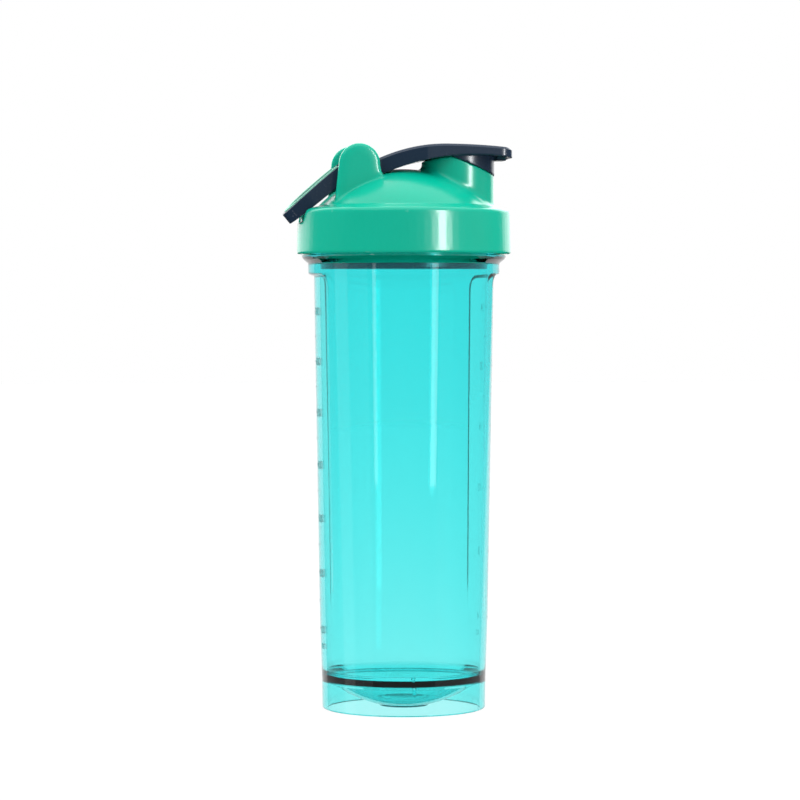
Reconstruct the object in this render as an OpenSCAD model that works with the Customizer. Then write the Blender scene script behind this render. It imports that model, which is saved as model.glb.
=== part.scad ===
// Protein shaker bottle: tapered clear jar, screw lid with a drinking spout,
// flip cap, carry loop and a mixing grid that plugs into the lid.
// Millimetres. The jar stands on z = 0 with its axis on Z; the spout is on +X
// and the hinge on -X.

/* [Jar] */
// Radius of the parallel foot
foot_r = 37; // [33:0.5:45]
// Height of the parallel foot
foot_h = 14; // [12:0.5:20]
// Height from the table to the collar
body_h = 196.4; // [150:0.2:240]
// Radius of the collar
collar_r = 43.1; // [39:0.1:52]
// Height of the parallel collar
collar_h = 4.1; // [3:0.1:8]
// How far the flange under the lid stands out from the collar
flange_w = 2.9; // [2:0.1:4.2]
// Height of the flange with its cone
flange_h = 3.7; // [3:0.1:8]
// How far the neck stands in from the collar
neck_inset = 1.1; // [0.5:0.1:2]
// Height of the neck above the flange
neck_h = 16.3; // [14:0.1:20]
// Wall of the jar at its foot and behind the grip panels
jar_wall = 2.3; // [1.8:0.1:2.8]
// Thickness of the bowl that closes the jar
bowl_floor = 2.2; // [1.5:0.1:3]
// Depth of the bowl's inside
bowl_depth = 14; // [10:0.5:16]
// Gap between the bowl and the table
bowl_gap = 1.4; // [0.8:0.1:3]
// Radius of the flat pad under the bowl
pad_r = 11; // [6:0.5:14]
// Width of the rib between the bowl and the foot
rib_w = 1.3; // [1:0.1:3]
// Height of that rib
rib_h = 5.2; // [3:0.1:7]

/* [Grip panels] */
// Depth of the two side panels at their top
panel_depth = 2.6; // [1:0.1:3]
// Height at which the panels run out into the body
panel_foot = 41; // [30:1:60]
// Half width of a panel at its top
panel_top_w = 21.9; // [15:0.1:26]
// Half width of a panel at its foot
panel_foot_w = 17.3; // [12:0.1:24]
// Radius of a panel's upper corners
panel_corner = 6.5; // [3:0.5:10]

/* [Thread] */
// Rise of the thread in one turn
thread_lead = 8; // [7:0.5:12]
// Length of each thread ridge in degrees
thread_sweep = 200; // [120:10:220]
// Height of a ridge above its wall
thread_depth = 2.2; // [1.5:0.1:2.4]
// Width of a ridge at its root
thread_root = 3; // [2:0.1:3.2]
// Width of a ridge at its crest
thread_crest = 1; // [0.6:0.1:1.4]
// Gap between a crest and the wall it faces
thread_gap = 1; // [0.6:0.1:1.5]

/* [Lid] */
// Wall of the lid's skirt
lid_wall = 3; // [2.6:0.1:4]
// Height of the skirt
lid_h = 20.1; // [18.5:0.1:24]
// How much the skirt narrows towards its top
lid_draft = 0.45; // [0:0.05:0.6]
// Rounding of the lid's upper edge
lid_edge = 2.2; // [1:0.1:3]
// Rise of the shoulder from that edge to the dome
shoulder_rise = 1.4; // [0.5:0.1:3]
// Gap between the skirt and the jar's flange
lid_gap = 0.6; // [0.5:0.1:2]
// Height of the dome's peak above the skirt's lower edge
dome_h = 38.2; // [35:0.1:42]
// Radius of the dome
dome_r = 52.7; // [50:0.1:64]
// Wall of the dome
dome_wall = 2.2; // [1.6:0.1:3]
// Wall of the ring that hangs down inside the neck
ring_wall = 1.8; // [1.4:0.1:2.2]
// Gap between that ring and the inside of the neck
ring_gap = 0.7; // [0.5:0.1:1.2]
// How far the ring stops above the top of the body
ring_lift = 4.8; // [4:0.1:7]
// Thickness of the gasket
gasket_t = 1.8; // [1:0.1:2.5]
// Half width of the recess in the lid's edge under the carry loop
nest_w = 11.8; // [8:0.1:14]
// Height of that recess
nest_h = 6.1; // [4:0.1:8]
// Depth of that recess
nest_depth = 1.3; // [0.5:0.1:1.6]

/* [Mixing grid] */
// Thickness of the grid's floor
grid_floor = 1.8; // [1.2:0.1:3]
// Thickness of the brim that stops the grid under the lid's ring
grid_brim = 3.4; // [2:0.1:3.6]
// Length of the collar that plugs into the lid's ring
grid_plug = 8.2; // [5:0.1:10]
// Wall of that collar
grid_wall = 1.5; // [1:0.1:2]
// Diameter of a hole in the grid
hole_d = 5.6; // [3:0.1:6.2]
// Spacing of the holes
hole_pitch = 7.6; // [7:0.1:10]

/* [Hinge] */
// Distance of the hinge axis from the jar's axis
hinge_x = 22; // [20:0.1:25]
// Height of the hinge axis above the dome's peak
hinge_lift = 1.6; // [1.2:0.1:3]
// Radius of the hinge pin
pin_r = 2.4; // [1.8:0.1:2.6]
// Radial clearance of the pin in its bores
pin_play = 0.05; // [0.03:0.01:0.1]
// Half of the distance between the ears
ear_gap = 14; // [13.8:0.1:16]
// Thickness of an ear
ear_t = 4; // [3:0.1:5]
// Radius of an ear's top
ear_r = 9.2; // [8:0.1:11]
// Radius of the cap's barrel round the pin
barrel_r = 5; // [4.6:0.1:5.4]
// Half length of that barrel
barrel_w = 7.7; // [6:0.1:8]
// Side clearance between pieces on the pin
side_play = 0.3; // [0.2:0.05:0.5]

/* [Spout] */
// Distance of the spout from the jar's axis
spout_x = 24.5; // [22:0.1:26]
// Outer radius of the spout
spout_r = 16.25; // [14:0.05:17]
// Wall of the spout at its lip
spout_wall = 2.2; // [1.5:0.1:3]
// Height of the spout's lip above the dome's peak
spout_rise = 7.5; // [6.5:0.1:8]
// How far the lip stands in from the spout's outside
lip_step = 1.65; // [1.4:0.05:2.4]

/* [Flip cap] */
// Reach of the thumb tab from the jar's axis
tab_x = 47.3; // [45:0.1:52]
// Height of the arch's top above the dome's peak
arch_h = 10.9; // [10.5:0.1:13]
// Place of the arch's top along X
arch_x = 17; // [12:0.1:32]
// Radius of the arch's upper face over the spout
arch_r = 270; // [110:1:300]
// Radius of that face on the hinge's side
arch_back_r = 72; // [66:1:130]
// Radius of the arch's lower face
belly_r = 100; // [96:1:120]
// Thickness of the arch at its top
arch_t = 4.8; // [4.4:0.1:6]
// Half width of the arm over the spout
arm_w = 17.8; // [17:0.1:20]
// Half width of the arm between the ears
arm_root_w = 13.5; // [10:0.1:13.6]
// Corner radius of the thumb tab
tab_corner = 5.4; // [3:0.1:8]
// Thickness of the skin over the spout
skin_t = 2.3; // [1.6:0.1:3]
// Gap between the cap and the spout
cap_gap = 0.5; // [0.4:0.05:0.8]
// Slope of the cup's lower edge
cup_slope = 0.39; // [0.3:0.01:0.45]
// Height of the cup's lowest point below the dome's peak
cup_low = 3; // [2:0.1:4]

/* [Carry loop] */
// How far the loop reaches past the lid's upper edge
loop_past = 6.72; // [4:0.02:10]
// Angle by which the loop hangs below the line from the hinge to that edge
loop_tuck = 3.06; // [1:0.02:4]
// Radius of the loop's eyes
eye_r = 4.8; // [4:0.1:5]
// Thickness of the loop below the hinge axis
loop_under = 2.2; // [1.5:0.1:2.4]
// Gap between the loop and the lid's shoulder
loop_gap = 0.4; // [0.3:0.05:0.8]
// Width of the loop's rails
rail_w = 5.4; // [4:0.1:5.6]
// Width of the inlay in the rails
inlay_w = 3; // [2:0.1:3.4]
// How far the inlay stands proud
inlay_up = 0.5; // [0.3:0.1:1.5]
// How deep the inlay is let in
inlay_in = 0.8; // [0.4:0.1:1.2]

/* [Hidden] */

$fn = 96;
eps = 0.01;         // overlap that joins neighbouring solids
far = 100;          // longer than any cut needs
touch_gap = 0.02;   // gap between faces that only touch

// Jar heights and radii
slope_body = (collar_r - foot_r) / (body_h - foot_h);
bowl_rim_z = bowl_gap + bowl_floor + bowl_depth;
flare_z = body_h + collar_h;
flange_z = flare_z + flange_h;
rim_z = flange_z + neck_h;
flange_r = collar_r + flange_w;
neck_r = collar_r - neck_inset;
panel_foot_r = foot_r + slope_body * (panel_foot - foot_h);
panel_slope = (collar_r - panel_depth - panel_foot_r) / (body_h - panel_foot);
bore_top_r = collar_r - panel_depth - jar_wall;
bore_low_r = foot_r - jar_wall + 0.2;
foot_bore_r = foot_r - jar_wall;
bowl_r = (pow(bore_low_r, 2) + pow(bowl_depth, 2)) / (2 * bowl_depth);
bowl_c = bowl_gap + bowl_floor + bowl_r;

// Lid heights and radii
lid_z = flange_z + lid_gap;
lid_bore_r = neck_r + thread_depth + thread_gap;
lid_r = lid_bore_r + lid_wall;
lid_top_r = lid_r - lid_draft;
edge_z = lid_z + lid_h;
seat_z = rim_z + gasket_t + 2 * touch_gap;
peak_z = lid_z + dome_h;
dome_c = peak_z - dome_r;
ring_r = bore_top_r - ring_gap;
ring_bore_r = ring_r - ring_wall;
ring_z = body_h + ring_lift;
foot_of_dome_z = edge_z + shoulder_rise;
foot_of_dome_r = sqrt(pow(dome_r, 2) - pow(foot_of_dome_z - dome_c, 2));

// Thread: the lid's ridges run half a pitch under the jar's
thread_starts = 2;
thread_z = flange_z + 4.8;
thread_drop = thread_lead / thread_starts / 2;
thread_step = 5;

// Hinge, cap and spout
axis_z = peak_z + hinge_lift;
pin_bore_r = pin_r + pin_play;
ear_out = ear_gap + ear_t;
pin_head_r = pin_r + 1;
pin_head_t = 1.2;
pin_end_skin = 1;
eye_out = ear_gap - side_play;
lip_z = peak_z + spout_rise;
lip_r = spout_r - lip_step;
spout_bore_r = lip_r - spout_wall;
arch_z = peak_z + arch_h;
belly_x = arch_x + 13;
belly_c = arch_z - arch_t - belly_r;
cup_bore_r = lip_r + cap_gap;
cup_r = spout_r + 0.35;
cup_edge_x = spout_x + cup_r;
skin_z = arch_z - skin_t;
seal_z = lip_z + 0.1;

// The loop follows the lid's upper edge, whatever the lid's size
loop_drop = axis_z - edge_z;
loop_run = lid_r - hinge_x;
loop_droop = atan(loop_drop / loop_run) + loop_tuck;
loop_l = norm([loop_run, loop_drop]) + loop_past;

/* Points of a round corner: centre c, radius r, angles from a to b */
function arc(c, r, a, b, n = 8) = [for (i = [0:n]) c + r * [cos(a + (b - a) * i / n), sin(a + (b - a) * i / n)]];

/* One helical ridge. side is 1 for a ridge that stands out, -1 for one that stands in. */
module ridge(wall_r, side, start_z, start_a) {
    steps = thread_sweep / thread_step;
    buried = 0.4;
    fade = 4;
    points = [for (i = [0:steps])
        let (a = start_a + i * thread_step,
             z = start_z + thread_lead * i * thread_step / 360,
             grow = min(1, i / fade, (steps - i) / fade),
             r0 = wall_r - side * buried,
             r1 = wall_r + side * (thread_depth * grow - buried / 2 * (1 - grow)))
        for (p = [[r0, -thread_root / 2], [r1, -thread_crest / 2], [r1, thread_crest / 2], [r0, thread_root / 2]])
            [p[0] * cos(a), p[0] * sin(a), z + p[1]]];
    walls = [for (i = [0:steps - 1], k = [0:3])
        let (a = 4 * i + k, b = 4 * i + (k + 1) % 4)
        for (f = [[a, b, b + 4], [a, b + 4, a + 4]]) side > 0 ? [f[2], f[1], f[0]] : f];
    last = 4 * steps;
    ends = [[0, 1, 2], [0, 2, 3], [last + 2, last + 1, last], [last + 3, last + 2, last]];
    turned = [for (f = ends) side > 0 ? [f[2], f[1], f[0]] : f];
    polyhedron(concat(points), concat(walls, turned), convexity = 6);
}

module ridges(wall_r, side, start_z) {
    for (s = [0:thread_starts - 1])
        ridge(wall_r, side, start_z, s * 360 / thread_starts);
}

/* Outline of a grip panel, in Y and Z */
module panel_outline() {
    top = body_h - 0.4;
    low = foot_h;
    lean = (panel_top_w - panel_foot_w) / (body_h - panel_foot);
    low_w = panel_foot_w - lean * (panel_foot - low);
    side_w = panel_top_w - lean * panel_corner;
    polygon([[-low_w, low], [low_w, low], [side_w, top - panel_corner], [-side_w, top - panel_corner]]);
    translate([panel_corner - side_w, top - panel_corner - eps])
        square([2 * (side_w - panel_corner), panel_corner + eps]);
    for (s = [-1, 1])
        translate([s * (side_w - panel_corner), top - panel_corner])
            circle(panel_corner);
}

module jar_outside() {
    bevel = 1.1;
    flange_edge = 0.7;
    rim_bevel = 0.7;
    rotate_extrude()
        polygon([[0, 0], [foot_r - bevel, 0], [foot_r, bevel], [foot_r, foot_h], [collar_r, body_h],
            [collar_r, flare_z], [flange_r - flange_edge, flare_z + flange_h / 2],
            [flange_r, flange_z - flange_edge],
            [flange_r, flange_z], [neck_r, flange_z],
            [neck_r, rim_z - rim_bevel], [neck_r - rim_bevel, rim_z], [0, rim_z]]);
}

module jar() {
    cone_h = body_h - foot_h;
    color([0.33, 0.87, 0.87, 0.5])
    union() {
        difference() {
            jar_outside();
            // Grip panels: their floor is a slimmer cone that meets the body at panel_foot
            for (side = [0, 1])
                mirror([side, 0, 0])
                    difference() {
                        rotate([90, 0, 90])
                            linear_extrude(collar_r + 2)
                                panel_outline();
                        translate([0, 0, foot_h - 1])
                            cylinder(h = cone_h + 2,
                                r1 = panel_foot_r - panel_slope * (panel_foot - foot_h + 1),
                                r2 = panel_foot_r + panel_slope * (body_h + 1 - panel_foot));
                    }
            // Inside
            rotate_extrude()
                polygon([[0, bowl_rim_z], [bore_low_r, bowl_rim_z], [bore_top_r, body_h],
                    [bore_top_r + 0.3, rim_z + 1], [0, rim_z + 1]]);
            intersection() {
                translate([0, 0, bowl_c])
                    sphere(bowl_r);
                translate([0, 0, bowl_gap])
                    cylinder(r = bore_low_r + 1, h = bowl_rim_z - bowl_gap);
            }
            // Hollow under the bowl
            difference() {
                translate([0, 0, -1])
                    cylinder(r = foot_bore_r, h = bowl_rim_z);
                translate([0, 0, bowl_c])
                    sphere(bowl_r + bowl_floor);
                translate([0, 0, bowl_gap])
                    cylinder(r = pad_r, h = bowl_floor);
                translate([-rib_w / 2, -foot_r, bowl_rim_z - bowl_floor - 0.8 - rib_h])
                    cube([rib_w, jar_wall + 2.4, rib_h + 2]);
            }
        }
        ridges(neck_r, 1, thread_z);
    }
}

/* Ear profile in X and Z: a round top on a foot that widens into the dome */
module ear_outline() {
    foot_z = edge_z + 1;
    translate([-hinge_x, axis_z])
        circle(ear_r);
    polygon([[-hinge_x - ear_r, axis_z], [-hinge_x - ear_r - 2, foot_z],
        [-hinge_x + ear_r + 3, foot_z], [-hinge_x + ear_r, axis_z]]);
}

/* Everything below the plane of the cup's lower edge, moved down by drop */
module under_slant(drop) {
    translate([cup_edge_x, 0, peak_z - cup_low - drop])
        rotate([0, atan(cup_slope), 0])
            translate([-far, -far, -far])
                cube([2 * far, 2 * far, far]);
}

module lid_outside() {
    top = lid_top_r - lid_edge;
    rotate_extrude()
        polygon(concat([[0, lid_z], [lid_r - 0.5, lid_z], [lid_r, lid_z + 0.5]],
            arc([top, edge_z - lid_edge], lid_edge, 0, 90),
            [[foot_of_dome_r, foot_of_dome_z], [0, foot_of_dome_z]]));
    intersection() {
        translate([0, 0, dome_c])
            sphere(dome_r);
        translate([0, 0, foot_of_dome_z - 1])
            cylinder(r = foot_of_dome_r + 1, h = far);
    }
    for (s = [-1, 1])
        translate([0, s * (ear_gap + ear_t / 2) + ear_t / 2, 0])
            rotate([90, 0, 0])
                linear_extrude(ear_t)
                    ear_outline();
    // Spout: a full body up to the cap's slanted edge, and a slimmer lip above it
    intersection() {
        translate([spout_x, 0, edge_z - 1])
            cylinder(r = spout_r, h = far);
        under_slant(0.3);
        translate([belly_x, far, belly_c])
            rotate([90, 0, 0])
                cylinder(r = belly_r - 0.4, h = 2 * far, $fn = 360);
    }
    translate([spout_x, 0, edge_z - 1])
        cylinder(r = lip_r, h = lip_z - edge_z + 1);
}

module lid_shell() {
    nest_r = lid_r - lid_draft - nest_depth;
    color([0.05, 0.72, 0.6])
    union() {
        difference() {
            lid_outside();
            // Inside of the skirt, round the ring
            difference() {
                translate([0, 0, lid_z - 1])
                    cylinder(r = lid_bore_r, h = seat_z - lid_z + 1);
                translate([0, 0, ring_z])
                    cylinder(r = ring_r, h = far);
            }
            // Inside of the ring and the dome
            intersection() {
                translate([0, 0, lid_z - 2 * lid_h])
                    cylinder(r = ring_bore_r, h = far);
                translate([0, 0, dome_c])
                    sphere(dome_r - dome_wall);
            }
            // Mouth of the spout
            translate([spout_x, 0, edge_z - lid_h])
                cylinder(r = spout_bore_r, h = far);
            // Recess under the end of the carry loop
            difference() {
                rotate([90, 0, -90])
                    linear_extrude(far)
                        translate([0, edge_z - nest_h + nest_w / 2]) {
                            translate([-nest_w, 0])
                                square([2 * nest_w, nest_h]);
                            intersection() {
                                circle(nest_w);
                                translate([-nest_w, -nest_w / 2])
                                    square([2 * nest_w, nest_w / 2 + eps]);
                            }
                        }
                cylinder(r = nest_r, h = 4 * far);
                translate([-foot_of_dome_r, -far, 0])
                    cube([far, 2 * far, 4 * far]);
            }
            // Room under the carry loop, where it lies on the shoulder
            intersection() {
                translate([-foot_of_dome_r - far, -far, 0])
                    cube([far, 2 * far, 4 * far]);
                in_loop_frame()
                    intersection() {
                        translate([0, 0, -far / 2])
                            linear_extrude(far)
                                loop_plan(eye_out + loop_gap, 0, 0, -loop_gap);
                        rail_side(far, loop_gap);
                    }
            }
            // Bores for the hinge pin, blind in the front ear
            translate([-hinge_x, 0, axis_z])
                rotate([-90, 0, 0]) {
                    translate([0, 0, pin_end_skin - ear_out])
                        cylinder(r = pin_bore_r, h = far);
                    translate([0, 0, ear_out - pin_head_t - touch_gap])
                        cylinder(r = pin_head_r + pin_play, h = far);
                }
        }
        // The ring hangs below the lid's skirt
        translate([0, 0, ring_z])
            difference() {
                cylinder(r = ring_r, h = seat_z - ring_z + 1);
                translate([0, 0, -1])
                    cylinder(r = ring_bore_r, h = far);
            }
        ridges(lid_bore_r, -1, thread_z - thread_drop);
    }
}

module lid_gasket() {
    color([0.93, 0.94, 0.93])
    translate([0, 0, rim_z + touch_gap])
        difference() {
            cylinder(r = neck_r + 0.8, h = gasket_t);
            translate([0, 0, -1])
                cylinder(r = ring_r + 0.3, h = gasket_t + 2);
        }
}

module mixing_grid() {
    plug_r = ring_bore_r - 0.15;
    reach = plug_r - grid_wall - 1.2 - hole_d / 2;
    rows = ceil(reach / hole_pitch / cos(30));
    floor_z = ring_z - touch_gap - grid_brim;
    color([0.11, 0.15, 0.2])
    translate([0, 0, floor_z])
        difference() {
            union() {
                cylinder(r = ring_r - 0.1, h = grid_brim);
                cylinder(r = plug_r, h = ring_z - floor_z + grid_plug);
            }
            translate([0, 0, grid_floor])
                cylinder(r = plug_r - grid_wall, h = far);
            for (row = [-rows:rows], col = [-rows:rows]) {
                x = hole_pitch * (col + row / 2);
                y = hole_pitch * row * cos(30);
                if (norm([x, y]) < reach)
                    translate([x, y, -1])
                        cylinder(d = hole_d, h = grid_floor + 2, $fn = 32);
            }
        }
}

module hinge_pin() {
    color([0.16, 0.19, 0.23])
    translate([-hinge_x, 0, axis_z])
        rotate([-90, 0, 0]) {
            translate([0, 0, pin_end_skin + 0.2 - ear_out])
                cylinder(r = pin_r, h = 2 * ear_out - pin_end_skin - 0.2);
            translate([0, 0, ear_out - pin_head_t])
                cylinder(r = pin_head_r, h = pin_head_t);
        }
}

/* Plan of the flip cap's arm, in X and Y */
module arm_plan() {
    step_x = -hinge_x + eye_r + 1.6;
    ear_x = -hinge_x + ear_r + 1.4;
    wide_x = spout_x - spout_r;
    c = tab_corner;
    polygon(concat([[-hinge_x, -barrel_w], [step_x, -barrel_w], [step_x, -arm_root_w], [ear_x, -arm_root_w],
            [wide_x, -arm_w]],
        arc([tab_x - c, c - arm_w], c, -90, 0), arc([tab_x - c, arm_w - c], c, 0, 90),
        [[wide_x, arm_w], [ear_x, arm_root_w], [step_x, arm_root_w], [step_x, barrel_w],
            [-hinge_x, barrel_w]]));
}

/* Everything under one arc of the arm's upper face, on one side of the arch's top */
module under_arch(r, side) {
    intersection() {
        translate([arch_x, far, arch_z - r])
            rotate([90, 0, 0])
                cylinder(r = r, h = 2 * far, $fn = 360);
        translate([arch_x + (side > 0 ? 0 : -far), -far, peak_z - 10])
            cube([far, 2 * far, far]);
    }
}

module flip_cap() {
    hook_w = 5;
    hook_h = 2.2;
    hook_x = cup_edge_x + 0.6;
    hook_l = tab_x - hook_x - 1.4;
    color([0.11, 0.15, 0.2])
    difference() {
        union() {
            // Arched arm: its upper face is two arcs that meet at the top, its lower face is one
            intersection() {
                translate([0, 0, peak_z - 10])
                    linear_extrude(30)
                        arm_plan();
                union() {
                    under_arch(arch_r, 1);
                    under_arch(arch_back_r, -1);
                }
                difference() {
                    translate([-far, -far, peak_z - 10])
                        cube([2 * far, 2 * far, far]);
                    translate([belly_x, far, belly_c])
                        rotate([90, 0, 0])
                            cylinder(r = belly_r, h = 2 * far, $fn = 360);
                }
            }
            // Cup round the lip of the spout
            difference() {
                translate([spout_x, 0, peak_z - 10])
                    cylinder(r = cup_r, h = skin_z - peak_z + 11);
                under_slant(0);
            }
            translate([hook_x, -hook_w, arch_z - arch_t - hook_h])
                cube([hook_l, 2 * hook_w, hook_h + 1]);
            translate([-hinge_x, barrel_w, axis_z])
                rotate([90, 0, 0])
                    cylinder(r = barrel_r, h = 2 * barrel_w);
        }
        translate([spout_x, 0, peak_z - 10])
            cylinder(r = cup_bore_r, h = skin_z - peak_z + 10);
        translate([-hinge_x, far, axis_z])
            rotate([90, 0, 0])
                cylinder(r = pin_bore_r, h = 2 * far);
        // Room over the dome beside the hinge
        translate([0, 0, dome_c])
            sphere(dome_r + 0.6);
    }
}

module spout_seal() {
    plug_r = spout_bore_r - cap_gap;
    plug_h = 2;
    color([0.93, 0.94, 0.93])
    translate([spout_x, 0, seal_z]) {
        difference() {
            union() {
                cylinder(r = lip_r - 0.6, h = skin_z - seal_z);
                translate([0, 0, -plug_h])
                    cylinder(r = plug_r, h = plug_h + eps);
            }
            translate([0, 0, -plug_h - 1])
                cylinder(r = plug_r - 1.6, h = plug_h + 1);
        }
    }
}

/* Places the loop's own frame: its length along -X, its outer face up */
module in_loop_frame() {
    translate([-hinge_x, 0, axis_z])
        rotate([0, -loop_droop, 0])
            children();
}

/* U-shaped plan of the loop between two half widths, from start to loop_l - inset; solid if inner is 0 */
module loop_plan(outer, inner, start, inset) {
    end = loop_l - inset;
    difference() {
        union() {
            translate([-(end - outer), -outer])
                square([end - outer - start, 2 * outer]);
            translate([-(end - outer), 0])
                circle(outer);
        }
        if (inner > 0) {
            translate([-(end - outer), -inner])
                square([end, 2 * inner]);
            translate([-(end - outer), 0])
                circle(inner);
        }
    }
}

/* Side view of the rails: straight below, slightly bowed above; lift moves the upper face up
   and sink moves the lower face down */
module rail_side(lift, sink = 0) {
    bow = 0.6;
    end_under = 1.3;
    end_over = 4.1;
    over = [for (i = [0:8]) let (t = i / 8) [-loop_l * t, eye_r + (end_over - eye_r) * t + 4 * bow * t * (1 - t) + lift]];
    rotate([90, 0, 0])
        translate([0, 0, -far])
            linear_extrude(2 * far)
                polygon(concat([[0, -loop_under - sink]], over, [[-loop_l - 1, end_over + lift],
                    [-loop_l - 1, -end_under - sink]]));
}

module inlay_prism() {
    edge = (rail_w - inlay_w) / 2;
    end_edge = edge + 0.5;
    translate([0, 0, -far / 2])
        linear_extrude(far)
            loop_plan(eye_out - edge, eye_out - edge - inlay_w, eye_r + 3, end_edge);
}

module carry_loop() {
    color([0.11, 0.15, 0.2])
    in_loop_frame()
        difference() {
            union() {
                intersection() {
                    translate([0, 0, -far / 2])
                        linear_extrude(far)
                            loop_plan(eye_out, eye_out - rail_w, 0, 0);
                    rail_side(0);
                }
                for (s = [-1, 1])
                    translate([0, s * (eye_out - rail_w / 2) + rail_w / 2, 0])
                        rotate([90, 0, 0])
                            cylinder(r = eye_r, h = rail_w);
            }
            translate([0, far, 0])
                rotate([90, 0, 0])
                    cylinder(r = pin_bore_r, h = 2 * far);
            difference() {
                inlay_prism();
                rail_side(-inlay_in);
                translate([-far, -far, -far])
                    cube([2 * far, 2 * far, far]);
            }
        }
}

module loop_inlay() {
    color([0.35, 0.85, 0.72])
    in_loop_frame()
        difference() {
            intersection() {
                inlay_prism();
                rail_side(inlay_up);
            }
            rail_side(-inlay_in);
        }
}

jar();
lid_shell();
lid_gasket();
mixing_grid();
hinge_pin();
flip_cap();
spout_seal();
carry_loop();
loop_inlay();
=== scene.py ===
import math

import bmesh
import bpy
import numpy as np
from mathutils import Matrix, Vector


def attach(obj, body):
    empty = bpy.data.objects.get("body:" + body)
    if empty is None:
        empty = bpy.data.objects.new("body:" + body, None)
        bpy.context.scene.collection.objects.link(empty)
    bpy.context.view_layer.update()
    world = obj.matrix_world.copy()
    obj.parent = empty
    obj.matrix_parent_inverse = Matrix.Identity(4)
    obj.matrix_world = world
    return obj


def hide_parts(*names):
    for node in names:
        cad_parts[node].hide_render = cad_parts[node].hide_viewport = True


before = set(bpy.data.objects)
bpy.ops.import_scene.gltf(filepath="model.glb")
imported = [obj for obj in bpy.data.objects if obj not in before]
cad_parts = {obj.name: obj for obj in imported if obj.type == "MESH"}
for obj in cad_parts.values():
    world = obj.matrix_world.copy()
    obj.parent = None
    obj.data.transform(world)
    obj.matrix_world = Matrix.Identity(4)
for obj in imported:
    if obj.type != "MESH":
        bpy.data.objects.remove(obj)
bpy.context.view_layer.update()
MM = 0.001


# ---------------------------------------------------------------- Jar
# The jar is one injection moulding of clear copolyester, tinted turquoise in the mass. It stands
# on a thin ring, is closed by a bowl above the table, and has a grip panel let into each side.
# The wall thickens upwards everywhere but behind the panels, and the neck carries two ridges.
FOOT_R, FOOT_H = 37.0, 14.0
BODY_TOP, COLLAR_R, COLLAR_TOP = 196.4, 43.1, 200.5
FLANGE_R, FLANGE_MIDDLE, FLANGE_TOP, FLANGE_EDGE, FLANGE_IN = 46.0, 202.35, 204.2, 0.7, 0.05
NECK_R, RIM_TOP = 42.0, 220.5
BORE_LOW, BORE_TOP, BORE_RIM = 34.9, 38.2, 38.5
BOWL_RIM, BOWL_SPHERE, BOWL_CENTRE, BOWL_WALL = 17.6, 50.5, 54.1, 2.8
PAD_R, PAD_Z, HOLLOW_R = 11.0, 1.4, 34.7
RIB_TURN, RIB_HALF, RIB_REACH, RIB_LOW, RIB_SOFT = 270, 0.75, 2.4, 9.2, 0.2
PANEL_FOOT, PANEL_TOP, PANEL_CORNER, PANEL_EDGE = 41.0, 196.0, 6.5, 1.3
PANEL_FOOT_W, PANEL_TOP_W, PANEL_DEPTH, PANEL_FINE_Z = 17.3, 21.9, 2.6, 186.0
THREAD_START, THREAD_LEAD, THREAD_SWEEP, THREAD_DEPTH = 209.0, 8.0, 200.0, 2.2
THREAD_HALF, THREAD_FLANK, THREAD_FADE = 1.5, 1.0, 20


def bent(a, corner, b):
    """Seven points, or rings of points, on the curve that rounds a corner between a and b."""
    steps = np.linspace(0, 1, 7)
    return [(1 - t) ** 2 * a + 2 * t * (1 - t) * corner + t * t * b for t in steps]


def profile(corners, runs):
    """Radius and height along a turned outline. Corners are (radius, height, rounding), and runs
    gives the longest step on the way to the next corner."""
    path = []
    for i, (r, z, rounding) in enumerate(corners):
        here = np.array([r, z])
        if rounding:
            before = np.array(corners[i - 1][:2]) - here
            after = np.array(corners[i + 1][:2]) - here
            before, after = before / np.linalg.norm(before), after / np.linalg.norm(after)
            half = math.acos(np.clip(np.dot(before, after), -1, 1)) / 2
            cut = rounding / math.tan(half)
            bend = bent(here + before * cut, here, here + after * cut)
        else:
            bend = [here]
        if path:
            gap = bend[0] - path[-1]
            count = max(1, math.ceil(np.linalg.norm(gap) / runs[i - 1]))
            path += [path[-1] + gap * k / count for k in range(1, count)]
        path += bend
    return np.array(path)


def place(name, data):
    """A new object with a mesh, curve, light or camera for its data, linked into the scene."""
    piece = bpy.data.objects.new(name, data)
    bpy.context.scene.collection.objects.link(piece)
    return piece


def skin(name, rings, ends="point"):
    """A closed mesh over a list of rings of points in millimetres. With ends "point" the first
    and the last ring close on a point in their middle, and with "loop" they join."""
    rings = np.asarray(rings, float) * MM
    count, width = rings.shape[:2]
    points = [tuple(p) for ring in rings for p in ring]
    last = count if ends == "loop" else count - 1
    faces = []
    for i in range(last):
        j = (i + 1) % count
        for k in range(width):
            n = (k + 1) % width
            faces.append((i * width + k, i * width + n, j * width + n, j * width + k))
    if ends == "point":
        for ring in (0, count - 1):
            points.append(tuple(rings[ring].mean(0)))
            tip = len(points) - 1
            faces += [(ring * width + k, ring * width + (k + 1) % width, tip) for k in range(width)]
    mesh = bpy.data.meshes.new(name)
    mesh.from_pydata(points, [], faces)
    shape = bmesh.new()
    shape.from_mesh(mesh)
    bmesh.ops.remove_doubles(shape, verts=shape.verts, dist=1e-7)
    bmesh.ops.recalc_face_normals(shape, faces=shape.faces)
    shape.to_mesh(mesh)
    shape.free()
    mesh.shade_smooth()
    return place(name, mesh)


def smooth(t):
    """0 up to t = 0, 1 from t = 1, and an even S between them."""
    t = np.clip(t, 0, 1)
    return t * t * (3 - 2 * t)


def body_r(z):
    """Radius of the tapered body's outside."""
    return FOOT_R + (COLLAR_R - FOOT_R) * (z - FOOT_H) / (BODY_TOP - FOOT_H)


def panel_r(z):
    """Radius of a grip panel, which runs out to the body's at its foot."""
    top = COLLAR_R - PANEL_DEPTH
    foot = body_r(PANEL_FOOT)
    return foot + (top - foot) * (z - PANEL_FOOT) / (BODY_TOP - PANEL_FOOT)


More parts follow.
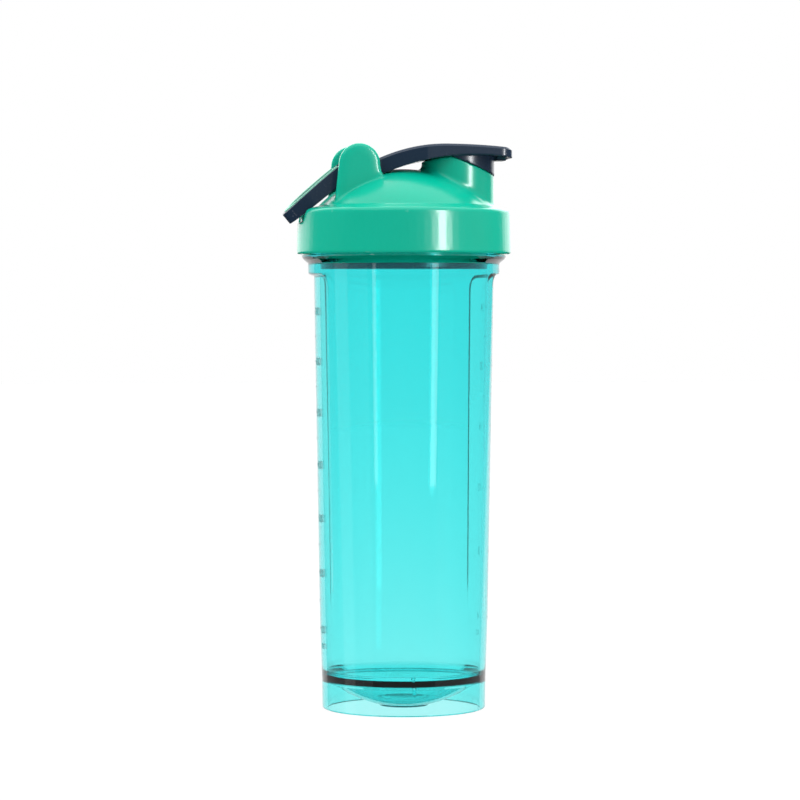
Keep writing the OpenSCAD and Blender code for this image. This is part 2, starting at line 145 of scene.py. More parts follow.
def rounded_inset(a, b, radius):
    """Distance inside an outline that lies a from one side and b from the next, where those two
    sides meet in a rounded corner."""
    corner = radius - np.hypot(np.maximum(radius - a, 0), np.maximum(radius - b, 0))
    return np.where((a < radius) & (b < radius), corner, np.minimum(a, b))


def panel_cut(angle, z):
    """How far the outside stands back for the grip panels."""
    across = np.abs(body_r(z) * np.sin(angle))
    half = PANEL_FOOT_W + (PANEL_TOP_W - PANEL_FOOT_W) * (z - PANEL_FOOT) / (PANEL_TOP - PANEL_FOOT)
    side, top = half - across, PANEL_TOP - z
    depth = np.maximum(body_r(z) - panel_r(z), 0)
    return depth * smooth(rounded_inset(side, top, PANEL_CORNER) / PANEL_EDGE)


def bowl_z(r, sphere):
    """Height of the bowl's inner or outer face, a part of a sphere, at a distance from the axis."""
    return BOWL_CENTRE - math.sqrt(sphere**2 - r * r)


def thread_rise(angle, z):
    """Height of the two helical ridges over the neck."""
    turn = np.degrees(angle) % 360
    rise = np.zeros_like(turn)
    for start in (0, 180):
        along = (turn - start) % 360
        middle = THREAD_START + THREAD_LEAD * along / 360
        flank = np.clip((THREAD_HALF - np.abs(z - middle)) / THREAD_FLANK, 0, 1)
        fade = np.clip(np.minimum(along, THREAD_SWEEP - along) / THREAD_FADE, 0, 1)
        rise = np.maximum(rise, THREAD_DEPTH * flank * fade)
    return rise


# Directions of the points in each ring: every 2.5 degrees, and closer where a panel's edge or the
# rib needs it.
EVEN_STEP, EDGE_FROM, EDGE_TO, EDGE_STEP = 2.5, 24.5, 32.0, 0.3
RIB_FROM, RIB_TO, RIB_STEP = -2.4, 2.5, 0.15
turns = set(np.round(np.arange(0, 360, EVEN_STEP), 3))
for middle in (0, 180):
    for side in (-1, 1):
        turns |= set(np.round((middle + side * np.arange(EDGE_FROM, EDGE_TO, EDGE_STEP)) % 360, 3))
turns |= set(np.round(RIB_TURN + np.arange(RIB_FROM, RIB_TO, RIB_STEP), 3))
turns = np.radians(sorted(turns))

# The outline goes from the middle of the bowl's underside out, up and back down inside. Each
# corner has its radius, height, rounding and the longest step on the way to the next.
outer = BOWL_SPHERE + BOWL_WALL
outline = [(0.5, PAD_Z, 0, 2), (PAD_R, PAD_Z, 0.25, 2)]
outline += [(r, bowl_z(r, outer), 0, 3) for r in np.linspace(PAD_R + 0.3, HOLLOW_R - 1.2, 12)]
outline += [
    (HOLLOW_R, bowl_z(HOLLOW_R, outer), 0.8, 0.4),
    (HOLLOW_R, 0, 0.3, 1),
    (FOOT_R - 0.2, 0, 0.9, 1),
    (FOOT_R, FOOT_H, 0, 6),
    (body_r(PANEL_FINE_Z), PANEL_FINE_Z, 0, 0.35),
    (COLLAR_R, BODY_TOP, 0, 0.6),
    (COLLAR_R, COLLAR_TOP, 0.8, 0.6),
    (FLANGE_R - FLANGE_EDGE, FLANGE_MIDDLE, 0.5, 0.4),
    (FLANGE_R - FLANGE_IN, FLANGE_TOP - FLANGE_EDGE, 0.25, 0.5),
    (FLANGE_R - FLANGE_IN, FLANGE_TOP, 0.2, 1),
    (NECK_R, FLANGE_TOP, 0.4, 0.3),
    (NECK_R, RIM_TOP, 0.7, 0.5),
    (BORE_RIM, RIM_TOP, 0.5, 3),
    (BORE_TOP, BODY_TOP, 0, 6),
    (BORE_LOW, BOWL_RIM, 0.6, 1),
]
outline += [(r, bowl_z(r, BOWL_SPHERE), 0, 3) for r in np.linspace(BORE_LOW - 0.8, 1.0, 16)]
path = profile([corner[:3] for corner in outline], [corner[3] for corner in outline])

# Only the outside, from the foot to the rim, carries the panels and the thread. The rib stands on
# the inner wall of the foot.
foot_ring = int(np.argmin(np.abs(path[:, 1]) + np.abs(path[:, 0] - FOOT_R)))
rim_ring = int(np.argmax(path[:, 1]))
rings = []
for i, (r, z) in enumerate(path):
    radius = np.full_like(turns, r)
    if foot_ring < i < rim_ring and PANEL_FOOT < z < PANEL_TOP + 1:
        radius -= panel_cut(turns, z)
    if foot_ring < i < rim_ring and z > FLANGE_TOP + 1 and r > NECK_R - 0.3:
        radius += thread_rise(turns, z)
    if i < foot_ring and abs(r - HOLLOW_R) < 0.6 and z > 1:
        across = np.abs(HOLLOW_R * (turns - math.radians(RIB_TURN)))
        rib = smooth((RIB_HALF + RIB_SOFT / 2 - across) / RIB_SOFT)
        radius -= RIB_REACH * rib * smooth((z - RIB_LOW) / 0.6 + 0.5)
    level = np.full_like(turns, z)
    rings.append(np.stack([radius * np.cos(turns), radius * np.sin(turns), level], 1))
jar = skin("jar_body", rings)


def colour(hexa):
    """sRGB hex to linear red, green, blue and alpha."""
    parts = [int(hexa[i : i + 2], 16) / 255 for i in (1, 3, 5)]
    return [c / 12.92 if c <= 0.04045 else ((c + 0.055) / 1.055) ** 2.4 for c in parts] + [1.0]


def add(tree, kind, values=None, links=None):
    """Adds one node, with values on its sockets and links into them."""
    node = tree.nodes.new(kind)
    for socket, value in (values or {}).items():
        node.inputs[socket].default_value = value
    for socket, source in (links or {}).items():
        tree.links.new(source, node.inputs[socket])
    return node


def blank(name):
    """A material with an empty node tree, and the object coordinates that its patterns use."""
    mat = bpy.data.materials.new(name)
    mat.use_nodes = True
    mat.node_tree.nodes.clear()
    where = add(mat.node_tree, "ShaderNodeTexCoord").outputs["Object"]
    return mat, mat.node_tree, where


# Moulded copolyester: water clear and glossy, with the faint waves that the cooling plastic
# leaves, about 14 mm across. Its turquoise deepens with the thickness that the light crosses.
copolyester, tree, where = blank("tinted_copolyester_moulded")
waves = add(tree, "ShaderNodeTexNoise", {"Scale": 1 / (14 * MM), "Detail": 1.0}, {"Vector": where})
relief = add(
    tree,
    "ShaderNodeBump",
    {"Strength": 0.5, "Distance": 0.03 * MM},
    {"Height": waves.outputs["Fac"]},
)
gloss = add(
    tree,
    "ShaderNodeMapRange",
    {"To Min": 0.015, "To Max": 0.035},
    {"Value": waves.outputs["Fac"]},
)
clear = add(
    tree,
    "ShaderNodeBsdfPrincipled",
    {"Base Color": colour("#EEFEFD"), "IOR": 1.54, "Transmission Weight": 1.0},
    {"Normal": relief.outputs["Normal"], "Roughness": gloss.outputs["Result"]},
)
tint = add(tree, "ShaderNodeVolumeAbsorption", {"Color": colour("#80F8F9"), "Density": 420.0})
add(
    tree,
    "ShaderNodeOutputMaterial",
    links={"Surface": clear.outputs["BSDF"], "Volume": tint.outputs["Volume"]},
)
jar.data.materials.append(copolyester)
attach(jar, "jar")
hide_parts("jar")


# ---------------------------------------------------------------- Printed scales
# Two scales are pad-printed on the grip panels in grey ink: millilitres on the hinge's side and
# fluid ounces on the spout's side. Each mark is at the height where the jar holds that much.
DIGIT_H, DIGIT_SHARE, INK_T, INK_GAP = 3.6, 0.7, 0.03, 0.03
TICK_W, TICK_LONG, TICK_SHORT, TICK_CELLS = 0.45, 6.0, 3.4, 6
TICK_AT, WORD_AT, UNIT_DROP = -1.2, 4.4, 7
OUNCE = 29.57


def fill_height(millilitres):
    """Height of the liquid's surface for a volume, from the bowl and the tapered bore."""
    cap = BOWL_RIM - (BOWL_CENTRE - BOWL_SPHERE)
    volume = math.pi * cap / 6 * (3 * BORE_LOW**2 + cap**2)
    z, step = BOWL_RIM, 0.05
    while volume < millilitres * 1000:
        r = BORE_LOW + (BORE_TOP - BORE_LOW) * (z - BOWL_RIM) / (BODY_TOP - BOWL_RIM)
        volume += math.pi * r * r * step
        z += step
    return z


def printed(shape, side):
    """Wraps a flat shape (across, up, out) on a grip panel; side is -1 on the hinge's side."""
    wrapped = []
    for across, up, out in shape:
        r = panel_r(up) if up > PANEL_FOOT else body_r(up)
        r += INK_GAP + out
        turn = across / r
        wrapped.append((side * r * math.cos(turn), side * r * math.sin(turn), up))
    return wrapped


def lettering(text, height):
    """A flat word as points and faces in millimetres, centred, standing on height zero."""
    curve = bpy.data.curves.new("word", "FONT")
    curve.body, curve.align_x = text, "CENTER"
    curve.size = height / DIGIT_SHARE
    curve.extrude = INK_T / 2
    word = place("word", curve)
    bpy.context.view_layer.update()
    solid = word.evaluated_get(bpy.context.evaluated_depsgraph_get())
    mesh = bpy.data.meshes.new_from_object(solid)
    points = [tuple(v.co) for v in mesh.vertices]
    faces = [tuple(f.vertices) for f in mesh.polygons]
    bpy.data.objects.remove(word)
    bpy.data.meshes.remove(mesh)
    return points, faces


def scale(name, side, marks, unit, unit_z):
    """One printed scale: ticks on the left, figures on the right, the unit under the lowest."""
    points, faces = [], []

    def put(shape, shape_faces):
        base = len(points)
        points.extend(printed(shape, side))
        faces.extend(tuple(base + i for i in face) for face in shape_faces)

    for text, z in marks + [(unit, unit_z)]:
        word, word_faces = lettering(text, DIGIT_H)
        put([(x + WORD_AT, y + z - DIGIT_H / 2, t) for x, y, t in word], word_faces)
    ticks = [(z, TICK_LONG) for _, z in marks]
    ticks += [((a[1] + b[1]) / 2, TICK_SHORT) for a, b in zip(marks, marks[1:])]
    for z, length in ticks:
        bar = []
        for k in range(TICK_CELLS + 1):
            x = TICK_AT - length * k / TICK_CELLS
            for up, out in ((-1, 0), (1, 0), (1, INK_T), (-1, INK_T)):
                bar.append((x, z + up * TICK_W / 2, out))
        far = 4 * TICK_CELLS
        bar_faces = [(0, 1, 2, 3), (far + 3, far + 2, far + 1, far)]
        for k in range(TICK_CELLS):
            for e in range(4):
                a, b = 4 * k + e, 4 * k + (e + 1) % 4
                bar_faces.append((a, a + 4, b + 4, b))
        put(bar, bar_faces)
    mesh = bpy.data.meshes.new(name)
    mesh.from_pydata([tuple(c * MM for c in p) for p in points], [], faces)
    return place(name, mesh)


# Pad-printing ink: thin, matt and a little uneven where the pad left less of it.
ink, tree, where = blank("pad_printing_ink")
patches = add(
    tree,
    "ShaderNodeTexNoise",
    {"Scale": 1 / (0.8 * MM), "Detail": 3.0},
    {"Vector": where},
)
shade = add(
    tree,
    "ShaderNodeMixRGB",
    {1: colour("#5F9294"), 2: colour("#7CAFAE")},
    {0: patches.outputs["Fac"]},
)
print_film = add(
    tree,
    "ShaderNodeBsdfPrincipled",
    {"Roughness": 0.55},
    {"Base Color": shade.outputs["Color"]},
)
add(tree, "ShaderNodeOutputMaterial", links={"Surface": print_film.outputs["BSDF"]})

ml_marks = [(str(v), fill_height(v)) for v in range(100, 701, 100)]
oz_marks = [(str(v), fill_height(v * OUNCE)) for v in range(4, 25, 4)]
for name, side, marks, unit in (("ml_scale", -1, ml_marks, "ml"), ("oz_scale", 1, oz_marks, "oz")):
    piece = scale(name, side, marks, unit, marks[0][1] - UNIT_DROP)
    piece.data.materials.append(ink)
    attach(piece, "jar")


# ---------------------------------------------------------------- Lid
# The lid is one green polypropylene moulding: a threaded skirt, a dome with the drinking spout,
# two ears for the hinge pin and a ring that hangs in the neck. Every inner corner has a fillet.
LID_R, LID_EDGE_Z, LID_EDGE_R = 47.75, 224.9, 2.2
DOME_R, DOME_CENTRE, DOME_FOOT_R, DOME_FOOT_Z = 52.7, 190.3, 38.49, 226.3
SPOUT_X, SPOUT_R = 24.5, 16.25
SPOUT_FILLET, EAR_FILLET, FILLET_SUNK, FILLET_UNDER = 3.0, 1.6, 1.2, 1.0
EAR_X, EAR_Z, EAR_R, EAR_Y, EAR_HALF, EAR_ROUND = -22.0, 244.6, 9.2, 16.0, 2.0, 1.4
EAR_CROWN, EAR_CROWN_R, EAR_FADE_Z, EAR_FADE_H = 5.0, 20.0, 1.2, 2.5
EAR_FOOT_BACK, EAR_FOOT_FRONT, EAR_FOOT_Z = 10.6, 10.4, 225.9
EAR_SPREAD_BACK, EAR_SPREAD_FRONT, EAR_NEAR_Y, EAR_NEAR = 2.0, 3.0, 0.4, 1.5


def lid_top(x, y):
    """Height of the dome, the shoulder and the rounded edge over a point."""
    r = np.hypot(x, y)
    inner = LID_R - LID_EDGE_R
    dome = DOME_CENTRE + np.sqrt(np.maximum(DOME_R**2 - r**2, 0))
    shoulder = DOME_FOOT_Z + (LID_EDGE_Z - DOME_FOOT_Z) * (r - DOME_FOOT_R) / (inner - DOME_FOOT_R)
    bend = np.sqrt(np.maximum(LID_EDGE_R**2 - np.maximum(r - inner, 0) ** 2, 0))
    edge = LID_EDGE_Z - LID_EDGE_R + bend
    return np.where(r < DOME_FOOT_R, dome, np.where(r < inner, shoulder, edge))


def fillet(name, outline, outward, radius):
    """A ring of plastic in the corner between an upright wall and the top of the lid. It reaches
    a little into both, so that the remesh melts it in."""
    outline, outward = np.array(outline), np.array(outward)

    def at(offset, lift):
        spot = outline + outward * offset
        return np.column_stack([spot, lid_top(spot[:, 0], spot[:, 1]) + lift])

    top, corner, out = at(0, radius), at(0, 0), at(radius, 0)
    under = [at(radius, -FILLET_UNDER), at(-FILLET_SUNK, -FILLET_UNDER)]
    loops = [at(-FILLET_SUNK, radius)] + bent(top, corner, out) + under
    loops[0][:, 2] = top[:, 2]
    return skin(name, loops, ends="loop")


def apply(piece):
    """Turns a piece's modifiers into its mesh."""
    bpy.context.view_layer.update()
    solid = piece.evaluated_get(bpy.context.evaluated_depsgraph_get())
    mesh = bpy.data.meshes.new_from_object(solid)
    piece.modifiers.clear()
    piece.data = mesh


def moulded(name, node, voxel, rounds, faces, extra=(), shape=None):
    """A fine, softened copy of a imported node, as it leaves a mould: remeshed with the extra
    solids melted in, shaped point by point, smoothed and thinned to a number of faces."""
    piece = place(name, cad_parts[node].data.copy())
    piece.data.materials.clear()
    bm = bmesh.new()
    bm.from_mesh(piece.data)
    for solid in extra:
        bm.from_mesh(solid.data)
        bpy.data.objects.remove(solid)
    bmesh.ops.remove_doubles(bm, verts=bm.verts, dist=1e-7)
    bm.to_mesh(piece.data)
    bm.free()
    remesh = piece.modifiers.new("remesh", "REMESH")
    remesh.mode, remesh.voxel_size = "VOXEL", voxel * MM
    apply(piece)
    if shape:
        points = np.empty(len(piece.data.vertices) * 3, np.float32)
        piece.data.vertices.foreach_get("co", points)
        points = shape(points.reshape(-1, 3) / MM) * MM
        piece.data.vertices.foreach_set("co", points.astype(np.float32).ravel())
    soften = piece.modifiers.new("soften", "SMOOTH")
    soften.factor, soften.iterations = 0.5, rounds
    thin = piece.modifiers.new("thin", "DECIMATE")
    thin.ratio = min(1.0, faces / (2 * len(piece.data.polygons)))
    apply(piece)
    piece.data.shade_smooth()
    return piece


around = np.linspace(0, 2 * math.pi, 96, endpoint=False)
spoke = np.column_stack([np.cos(around), np.sin(around)])
corners = [fillet("spout_fillet", spoke * SPOUT_R + [SPOUT_X, 0], spoke, SPOUT_FILLET)]
middle = EAR_X + (EAR_FOOT_FRONT - EAR_FOOT_BACK) / 2
half = (EAR_FOOT_FRONT + EAR_FOOT_BACK) / 2 - EAR_HALF
plan = spoke * EAR_HALF + np.column_stack([np.sign(spoke[:, 0]) * half, 0 * around])
for side in (-1, 1):
    corners.append(fillet("ear_fillet", plan + [middle, side * EAR_Y], spoke, EAR_FILLET))


def rounded_ears(points):
    """Rolls over the edges of both faces of each ear above its foot, and crowns the outer face."""
    x, y, z = points.T
    below = np.clip((EAR_Z - z) / (EAR_Z - EAR_FOOT_Z), 0, 1)
    back = x - (EAR_X - EAR_R - EAR_SPREAD_BACK * below)
    front = (EAR_X + EAR_R + EAR_SPREAD_FRONT * below) - x
    inside = np.where(z > EAR_Z, EAR_R - np.hypot(x - EAR_X, z - EAR_Z), np.minimum(back, front))
    cut = np.clip(EAR_ROUND - inside, 0, EAR_ROUND) ** 2 / (2 * EAR_ROUND)
    crown = np.clip(EAR_CROWN - inside, 0, EAR_CROWN) ** 2 / (2 * EAR_CROWN_R)
    above = smooth((z - lid_top(x, y) - EAR_FADE_Z) / EAR_FADE_H)
    ear = (np.abs(np.abs(y) - EAR_Y) < EAR_HALF + EAR_NEAR_Y) & (inside > -EAR_NEAR) & (above > 0)
    low, high = EAR_Y - EAR_HALF + cut * above, EAR_Y + EAR_HALF - (cut + crown) * above
    out = points.copy()
    through = (np.abs(y) - EAR_Y + EAR_HALF) / (2 * EAR_HALF)
    out[:, 1] = np.where(ear, np.sign(y) * (low + through * (high - low)), y)
    return out


lid = moulded("lid_body", "lid_shell", 0.5, 2, 190000, corners, rounded_ears)


def plastic(name, low, high, rough, grain, height, edge_highlight, **sockets):
    """A moulded plastic: two near colours in soft clouds, a fine grain in relief, and a painted
    highlight: white mixed into the colour on its sharpest edges, as if they caught the light."""
    mat, tree, where = blank(name)
    cloud = {"Scale": 1 / (18 * MM), "Detail": 2.0}
    clouds = add(tree, "ShaderNodeTexNoise", cloud, {"Vector": where})
    both = {1: colour(low), 2: colour(high)}
    base = add(tree, "ShaderNodeMixRGB", both, {0: clouds.outputs["Fac"]})
    # Painted highlight: the sharper an edge, the more white goes into the colour, up to the given
    # amount.
    bent = add(tree, "ShaderNodeNewGeometry")
    edge = add(
        tree,
        "ShaderNodeMapRange",
        {"From Min": 0.53, "From Max": 0.62, "To Min": 0.0, "To Max": edge_highlight},
        {"Value": bent.outputs["Pointiness"]},
    )
    edge_lit = add(
        tree,
        "ShaderNodeMixRGB",
        {2: colour("#FFFFFF")},
        {0: edge.outputs["Result"], 1: base.outputs["Color"]},
    )
    grains = {"Scale": 1 / (grain * MM), "Detail": 3.0}
    grit = add(tree, "ShaderNodeTexNoise", grains, {"Vector": where})
    relief = add(
        tree,
        "ShaderNodeBump",
        {"Strength": 0.6, "Distance": height * MM},
        {"Height": grit.outputs["Fac"]},
    )
    sheen = add(
        tree,
        "ShaderNodeMapRange",
        {"To Min": rough - 0.05, "To Max": rough + 0.05},
        {"Value": grit.outputs["Fac"]},
    )
    shader = add(
        tree,
        "ShaderNodeBsdfPrincipled",
        sockets,
        {
            "Base Color": edge_lit.outputs["Color"],
            "Roughness": sheen.outputs["Result"],
            "Normal": relief.outputs["Normal"],
        },
    )
    add(tree, "ShaderNodeOutputMaterial", links={"Surface": shader.outputs["BSDF"]})
    return mat


# Moulded polypropylene from a fine spark-eroded mould: satin, with soft bright reflections.
# The grain is about 0.2 mm on the real one and is drawn at 0.5 mm, so that it can show.
satin = {"IOR": 1.49, "Specular IOR Level": 0.33}
lid_green = plastic(
    "green_polypropylene_satin", "#009C81", "#00A287", 0.24, 0.5, 0.006, 0.03, **satin
)
lid.data.materials.append(lid_green)
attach(lid, "lid")
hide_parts("lid_shell")


# ---------------------------------------------------------------- Gasket
# A flat ring of white silicone sits in the lid and seals on the rim of the neck.
GASKET_IN, GASKET_OUT, GASKET_LOW, GASKET_TOP = 37.8, 42.8, 220.52, 222.32
GASKET_EDGE, CORE_R = 0.4, 0.2


def turned(corners, step, middle=(0, 0), axis="z", sides=144):
    """The rings of a piece turned round an upright or a crosswise axis. A solid one starts and
    ends at the small radius CORE_R, where skin closes it."""
    a = np.linspace(0, 2 * math.pi, sides, endpoint=False)
    rings = []
    for r, h in profile(corners, [step] * len(corners)):
        if axis == "z":
            ring = [r * np.cos(a) + middle[0], r * np.sin(a) + middle[1], np.full(sides, h)]
        else:
            ring = [r * np.cos(a) + middle[0], np.full(sides, h), r * np.sin(a) + middle[1]]
        rings.append(np.stack(ring, 1))
    return rings


half_z = (GASKET_LOW + GASKET_TOP) / 2
ring = [
    (GASKET_IN, half_z, 0),
    (GASKET_IN, GASKET_LOW, GASKET_EDGE),
    (GASKET_OUT, GASKET_LOW, GASKET_EDGE),
    (GASKET_OUT, GASKET_TOP, GASKET_EDGE),
    (GASKET_IN, GASKET_TOP, GASKET_EDGE),
    (GASKET_IN, half_z + 0.05, 0),
]
gasket = skin("gasket_ring", turned(ring, 1.0), ends="loop")

# Moulded silicone: milky, soft to the eye, with a dull gloss.
silicone, tree, where = blank("white_silicone")
dust = add(
    tree,
    "ShaderNodeTexNoise",
    {"Scale": 1 / (0.6 * MM), "Detail": 2.0},
    {"Vector": where},
)
dull = add(
    tree,
    "ShaderNodeMapRange",
    {"To Min": 0.38, "To Max": 0.52},
    {"Value": dust.outputs["Fac"]},
)
milky = add(
    tree,
    "ShaderNodeBsdfPrincipled",
    {
        "Base Color": colour("#EEF0EE"),
        "IOR": 1.41,
        "Subsurface Weight": 0.3,
        "Subsurface Radius": (0.0012, 0.0012, 0.0012),
    },
    {"Roughness": dull.outputs["Result"]},
)
add(tree, "ShaderNodeOutputMaterial", links={"Surface": milky.outputs["BSDF"]})
gasket.data.materials.append(silicone)
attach(gasket, "gasket")
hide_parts("lid_gasket")


# ---------------------------------------------------------------- Mixing grid
# A perforated cup of navy polypropylene plugs into the lid's ring and breaks up lumps of powder.
grid = moulded("grid_insert", "mixing_grid", 0.5, 2, 60000)

# Moulded polypropylene in dark navy, satin: the light shows as a grey bloom on its upper faces.
satin = {"IOR": 1.49, "Specular IOR Level": 0.35}
navy = plastic(
    "navy_polypropylene_satin", "#18283A", "#1D2E41", 0.26, 0.45, 0.006, 0.05, **satin
)
grid.data.materials.append(navy)
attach(grid, "grid")
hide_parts("mixing_grid")


# ---------------------------------------------------------------- Hinge pin
# A moulded acetal pin goes in through the rear ear; its head lies flush in that ear.
PIN_R, PIN_FROM, PIN_TO, PIN_HEAD_R, PIN_HEAD_T = 2.4, -16.8, 18.0, 3.4, 1.2
rod = [
    (CORE_R, PIN_FROM, 0),
    (PIN_R, PIN_FROM, 0.5),
    (PIN_R, PIN_TO - PIN_HEAD_T, 0),
    (PIN_HEAD_R, PIN_TO - PIN_HEAD_T, 0.1),
    (PIN_HEAD_R, PIN_TO, 0.35),
    (CORE_R, PIN_TO - 0.1, 0),
]
pin = skin("pin_rod", turned(rod, 1.5, (EAR_X, EAR_Z), "y", 48))

# Moulded acetal: dense and slippery, with a sharper gloss than the polypropylene round it.
acetal = plastic("dark_acetal_gloss", "#1C2530", "#232D38", 0.22, 0.3, 0.003, 0.04, IOR=1.48)
pin.data.materials.append(acetal)
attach(pin, "lid")
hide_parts("hinge_pin")


# ---------------------------------------------------------------- Flip cap
# The cap is an arched arm with a thumb tab, a barrel round the pin and a cup round the spout's
# lip, in the grid's navy polypropylene. Its upper edge is chamfered all round.
ARM_ROOT_W, ARM_W, ARM_WIDE_X, ARM_EAR_X = 13.5, 17.8, 8.25, -11.0
TAB_X, TAB_CORNER, CHAMFER, CHAMFER_FROM_X, CHAMFER_REACH = 47.3, 5.4, 1.1, -14.0, 2.0
ARCH_X, ARCH_R, ARCH_BACK_R, ARCH_TOP = 17.0, 270.0, 72.0, 253.9


def chamfered(points):
    """Cuts the arm's upper edge back to a slope."""
    x, y, z = points.T
    width = np.interp(x, [ARM_EAR_X, ARM_WIDE_X], [ARM_ROOT_W, ARM_W])
    side, end = width - np.abs(y), TAB_X - x
    inside = rounded_inset(side, end, TAB_CORNER)
    bend = np.where(x < ARCH_X, ARCH_BACK_R, ARCH_R)
    arch = ARCH_TOP - bend + np.sqrt(bend**2 - (x - ARCH_X) ** 2)
    limit = arch - np.maximum(CHAMFER - np.maximum(inside, 0), 0)
    out = points.copy()
    upper = (x > CHAMFER_FROM_X) & (z > arch - CHAMFER_REACH)
    out[:, 2] = np.where(upper, np.minimum(z, limit), z)
    return out


cap = moulded("cap_arm", "flip_cap", 0.36, 1, 150000, shape=chamfered)
cap.data.materials.append(navy)
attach(cap, "cap")
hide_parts("flip_cap")


# ---------------------------------------------------------------- Spout seal
# A disc of white silicone is held in the cap; its plug presses into the mouth of the spout.
SEAL_R, SEAL_LOW, SEAL_TOP, PLUG_R, PLUG_LOW, PLUG_WALL = 14.0, 250.6, 251.6, 11.9, 248.6, 1.6
plug_in = PLUG_R - PLUG_WALL
disc = [
    (CORE_R, SEAL_LOW, 0),
    (plug_in, SEAL_LOW, 0.3),
    (plug_in, PLUG_LOW, 0.4),
    (PLUG_R, PLUG_LOW, 0.4),
    (PLUG_R, SEAL_LOW, 0.3),
    (SEAL_R, SEAL_LOW, 0.4),
    (SEAL_R, SEAL_TOP, 0.3),
    (CORE_R, SEAL_TOP - 0.01, 0),
]
seal = skin("seal_plug", turned(disc, 1.5, (SPOUT_X, 0)))
seal.data.materials.append(silicone)
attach(seal, "cap")
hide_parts("spout_seal")


# ---------------------------------------------------------------- Carry loop
# The loop is a U of navy polypropylene on the same pin, with an eye on each side of the barrel.
loop = moulded("loop_band", "carry_loop", 0.3, 2, 120000)
loop.data.materials.append(navy)
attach(loop, "loop")
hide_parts("carry_loop")


# ---------------------------------------------------------------- Loop inlay
# A strip of soft mint elastomer is moulded into the loop's outer face for grip.
strip = moulded("loop_strip", "loop_inlay", 0.22, 2, 60000)

# Thermoplastic elastomer: matt and a little chalky, paler than the lid's green.
elastomer = plastic("mint_elastomer_matt", "#5AA68D", "#66B299", 0.55, 0.4, 0.012, 0.03, IOR=1.5)
strip.data.materials.append(elastomer)
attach(strip, "loop")
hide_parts("loop_inlay")


# ---------------------------------------------------------------- Floor and light
# A white painted floor lies under the bottle. The light is an even white surround, with
# softboxes whose reflections draw the shape: a tall strip at the right and broad ones around.
FLOOR_HALF = 6.0
floor_mesh = bpy.data.meshes.new("floor")
around_floor = [(x * FLOOR_HALF, y * FLOOR_HALF, 0) for x, y in ((-1, -1), (1, -1), (1, 1), (-1, 1))]
floor_mesh.from_pydata(around_floor, [], [(0, 1, 2, 3)])
floor = place("floor", floor_mesh)

# Painted board: matt white with a barely visible roller texture, 3 mm across.
board, tree, where = blank("white_painted_board")
roller = add(tree, "ShaderNodeTexNoise", {"Scale": 1 / (3 * MM), "Detail": 2.0}, {"Vector": where})
white = add(
    tree,
    "ShaderNodeMixRGB",
    {1: colour("#F4F4F4"), 2: colour("#F8F8F8")},
    {0: roller.outputs["Fac"]},
)
paint = add(
    tree,
    "ShaderNodeBsdfPrincipled",
    {
        "Roughness": 0.8,
        "Specular IOR Level": 0.2,
        "Emission Color": colour("#FFFFFF"),
        "Emission Strength": 0.18,
    },
    {"Base Color": white.outputs["Color"]},
)
add(tree, "ShaderNodeOutputMaterial", links={"Surface": paint.outputs["BSDF"]})
floor_mesh.materials.append(board)

# The floor shows in no reflection, and the clear jar casts no shadow and no bounced light.
floor.visible_glossy = False
jar.visible_shadow = False
jar.visible_diffuse = False

world = bpy.data.worlds.new("white_surround")
world.use_nodes = True
tree = world.node_tree
tree.nodes.clear()
surround = add(tree, "ShaderNodeBackground", {"Color": colour("#FFFFFF"), "Strength": 1.0})
add(tree, "ShaderNodeOutputWorld", links={"Surface": surround.outputs["Background"]})
world.cycles_visibility.glossy = False
bpy.context.scene.world = world

# The clear jar and the solid pieces have their own softboxes.
upper_pieces = bpy.data.collections.new("upper_pieces")
for piece in (lid, gasket, grid, pin, cap, seal, loop, strip):
    upper_pieces.objects.link(piece)
jar_alone = bpy.data.collections.new("jar_alone")
jar_alone.objects.link(jar)


def softbox(name, on, azimuth, distance, height, width, tall, brightness, target=0.13):
    """A rectangular light on the pieces in one collection, aimed at the bottle's axis at the
    target's height, in metres. Azimuth is as for the camera, in degrees."""
    light = bpy.data.lights.new(name, "AREA")
    light.shape, light.size, light.size_y = "RECTANGLE", width, tall
    light.energy = brightness * math.pi * width * tall
    lamp = place(name, light)
    turn = math.radians(azimuth)
    lamp.location = (distance * math.sin(turn), -distance * math.cos(turn), height)
    aim = Vector((0, 0, target)) - lamp.location
    lamp.rotation_euler = aim.to_track_quat("-Z", "Y").to_euler()
    lamp.visible_camera = False
    lamp.visible_transmission = False
    lamp.light_linking.receiver_collection = on
    return lamp


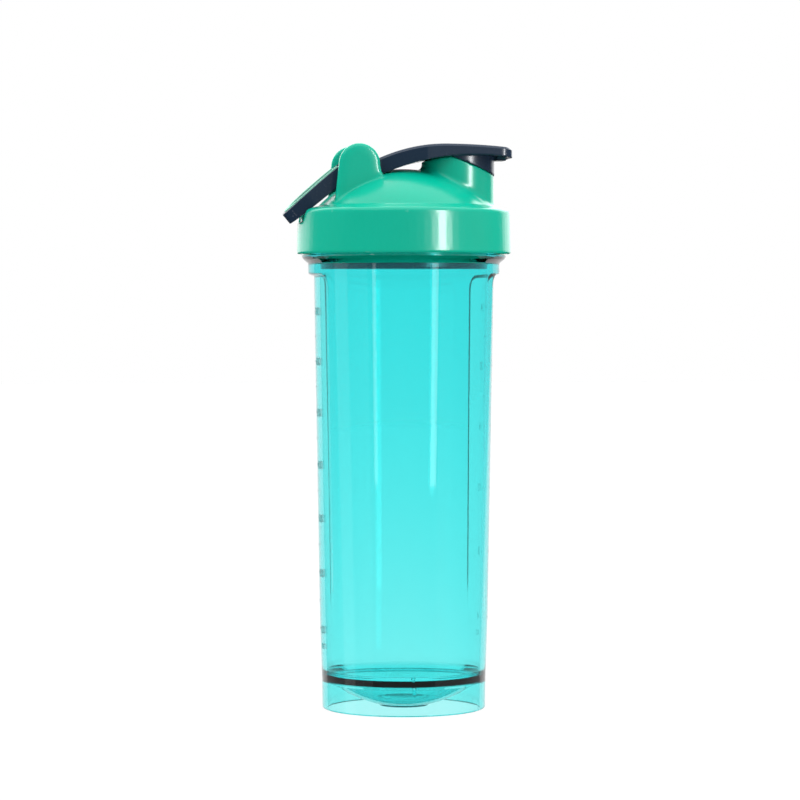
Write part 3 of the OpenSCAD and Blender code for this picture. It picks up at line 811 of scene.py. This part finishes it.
# The numbers are azimuth, distance, height, width, tall, brightness and, where it isn't the usual
# one, the target's height.
strip_right = softbox("strip_right", jar_alone, 30, 1.3, 0.45, 0.18, 1.0, 2.6, 0.45)
strip_right.visible_transmission = True
softbox("strip_left", jar_alone, -43, 1.3, 0.45, 0.1, 1.0, 1.9, 0.45)
softbox("side_left", jar_alone, -88, 1.2, 0.3, 0.42, 1.4, 0.5, 0.3)
wide_panels = (
    ("front", -7.6, 0.3),
    ("wide_right", 82, 0.5),
    ("wide_left", -97, 0.5),
    ("behind", 172, 1.0),
)
for name, azimuth, brightness in wide_panels:
    softbox(name, jar_alone, azimuth, 1.8, 0.1, 3.6, 2.4, brightness, 0.1)
strip_lid = softbox("strip_lid", upper_pieces, 34, 1.3, 0.45, 0.18, 1.0, 56.0, 0.45)
strip_lid.visible_diffuse = False
softbox("rear_left", upper_pieces, -152, 1.5, 0.6, 1.5, 1.2, 2.0)
softbox("rear_right", upper_pieces, 152, 1.5, 0.6, 1.5, 1.2, 2.0)
softbox("rear_top", upper_pieces, 180, 1.5, 1.2, 3.4, 1.2, 1.75, 0.24)
softbox("overhead", upper_pieces, 0, 0.05, 1.45, 2.8, 2.8, 1.65)
for name, azimuth, brightness in (("fill_right", 85, 2.4), ("fill_left", -95, 0.9)):
    fill = softbox(name, upper_pieces, azimuth, 1.2, 0.5, 0.9, 1.2, brightness)
    fill.visible_glossy = False


# ---------------------------------------------------------------- Camera
# A long lens, level with the upper part of the jar and a little to the left of square on.
LENS, SENSOR = 140, 36
AZIMUTH, DISTANCE, EYE_Z, AIM_Z, ASIDE = -7.6, 1.404, 0.181, 0.139, -0.0017
turn = math.radians(AZIMUTH)
right = Vector((math.cos(turn), math.sin(turn), 0))
camera_data = bpy.data.cameras.new("camera")
camera_data.lens, camera_data.sensor_width = LENS, SENSOR
camera_data.clip_end = 20
camera = place("camera", camera_data)
eye = Vector((math.sin(turn) * DISTANCE, -math.cos(turn) * DISTANCE, EYE_Z))
camera.location = eye + right * ASIDE
aim = Vector((0, 0, AIM_Z)) + right * ASIDE - camera.location
camera.rotation_euler = aim.to_track_quat("-Z", "Y").to_euler()
bpy.context.scene.camera = camera
bpy.context.scene.view_settings.view_transform = "Standard"
